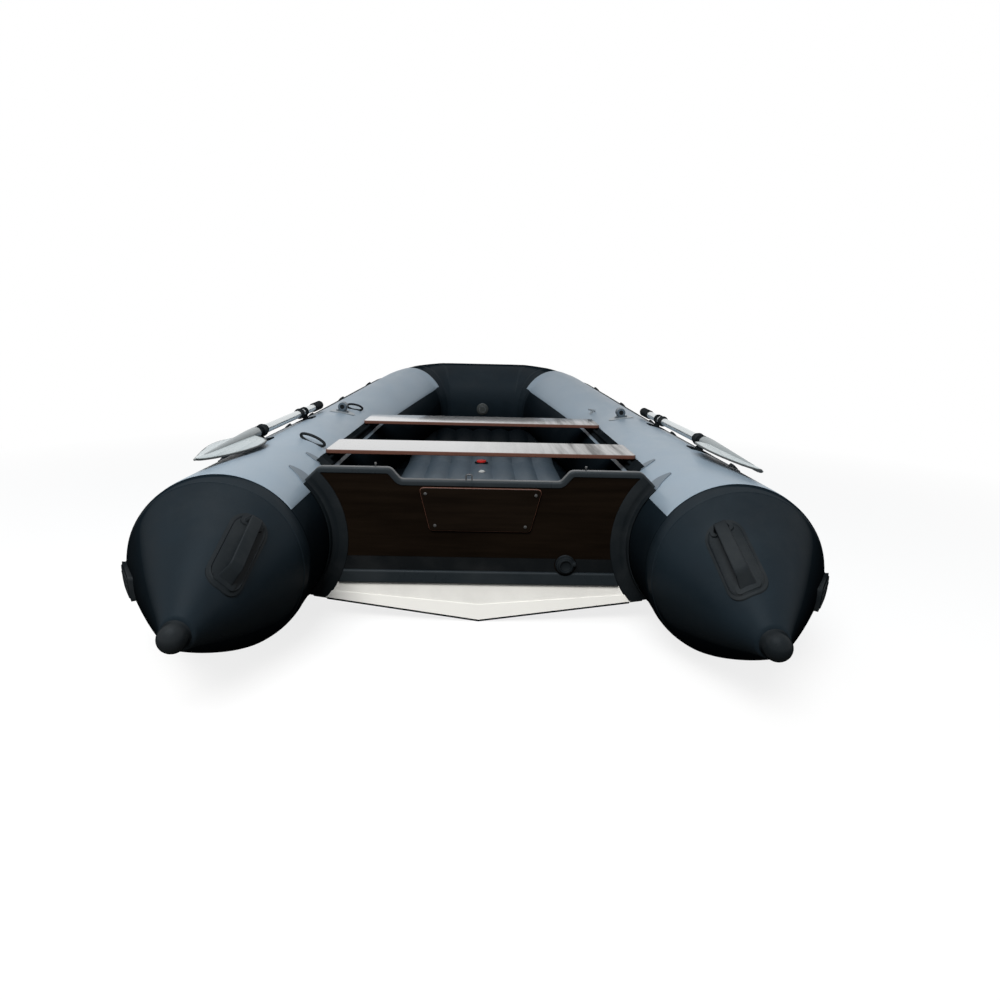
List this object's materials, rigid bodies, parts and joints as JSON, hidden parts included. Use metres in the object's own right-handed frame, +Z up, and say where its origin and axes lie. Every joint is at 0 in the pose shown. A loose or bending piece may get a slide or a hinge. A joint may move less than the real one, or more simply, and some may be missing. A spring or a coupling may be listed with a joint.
{
  "type": "inflatable boat",
  "caption": "Inflatable outboard boat with two side tubes, plywood transom, ribbed air floor, sliding bench boards, rowlocks and stowed oars.",
  "frame": {"origin": "on the ground under the keel, in the middle of the boat's length and beam", "axes": "+Y to the bow, +X to starboard, +Z up"},
  "size_m": [1.7026, 3.5996, 0.592],
  "materials": {
    "black_fabric": "PVC-coated, satin",
    "grey_fabric": "PVC-coated, satin",
    "white_fabric": "PVC-coated, satin",
    "floor_fabric": "PVC-coated, satin",
    "black_rubber": "satin",
    "black_plastic": "satin",
    "grey_plastic": "satin",
    "red_plastic": "gloss",
    "blade_plastic": "satin",
    "film_plywood": "phenolic film, gloss",
    "aluminium": "anodised",
    "steel": "polished",
    "rope": "braided"
  },
  "bodies": {
    "hull": {"side_tube_starboard": "black_fabric", "side_tube_port": "black_fabric", "bow_tube": "black_fabric", "top_panel_starboard": "grey_fabric", "top_panel_port": "grey_fabric", "rub_strake": "black_rubber", "strake_ends": "black_rubber", "cone_caps": "black_rubber", "bow_handle": "black_rubber", "tow_ring": "black_rubber", "transom_trim": "black_rubber", "upper_seal": "black_rubber", "lower_seal": "black_rubber", "transom_edging": "black_rubber", "oar_grips": "black_rubber", "stern_handle_starboard": "black_rubber", "stern_handle_port": "black_rubber", "transom_holder_starboard": "black_rubber", "transom_holder_port": "black_rubber", "hull_bottom": "white_fabric", "transom_foot_panel": "white_fabric", "transom_v_band": "white_fabric", "air_floor": "floor_fabric", "floor_valve": "red_plastic", "transom_board": "film_plywood", "motor_pad_aft": "film_plywood", "motor_pad_fore": "film_plywood", "drain_valve": "black_plastic", "oar_collars": "black_plastic", "oar_clips": "black_plastic", "transom_eyes": "steel", "bench_rail_starboard": "black_rubber", "bench_rail_port": "black_rubber", "oar_shaft_starboard": "aluminium", "oar_shaft_port": "aluminium", "oar_blade_starboard": "blade_plastic", "oar_blade_port": "blade_plastic", "rowlock_base_starboard": "grey_plastic", "rowlock_base_port": "grey_plastic", "line_holders_starboard": "black_plastic", "line_holders_port": "black_plastic", "grab_line_starboard": "rope", "grab_line_port": "rope", "bow_valve": "grey_plastic", "side_valves": "grey_plastic"},
    "aft_bench": {"aft_bench": "film_plywood", "aft_bench_sliders": "black_plastic"},
    "fore_bench": {"fore_bench": "film_plywood", "fore_bench_sliders": "black_plastic"},
    "rowlock_starboard": {"rowlock_starboard": "grey_plastic"},
    "rowlock_port": {"rowlock_port": "grey_plastic"}
  },
  "joints": [
    {"name": "aft_bench_slide", "type": "slide", "parent": "hull", "child": "aft_bench", "axis": [0, 1, 0], "range_m": [-0.055, 0.285]},
    {"name": "fore_bench_slide", "type": "slide", "parent": "hull", "child": "fore_bench", "axis": [0, 1, 0], "range_m": [-0.25, 0.065]},
    {"name": "rowlock_starboard_turn", "type": "hinge", "parent": "hull", "child": "rowlock_starboard", "pos_m": [0.58637, 0.0698, 0.44235], "axis": [-0.1564, 0, 0.9877], "range_deg": [-90, 90]},
    {"name": "rowlock_port_turn", "type": "hinge", "parent": "hull", "child": "rowlock_port", "pos_m": [-0.58637, 0.0698, 0.44235], "axis": [0.1564, 0, 0.9877], "range_deg": [-90, 90]}
  ]
}
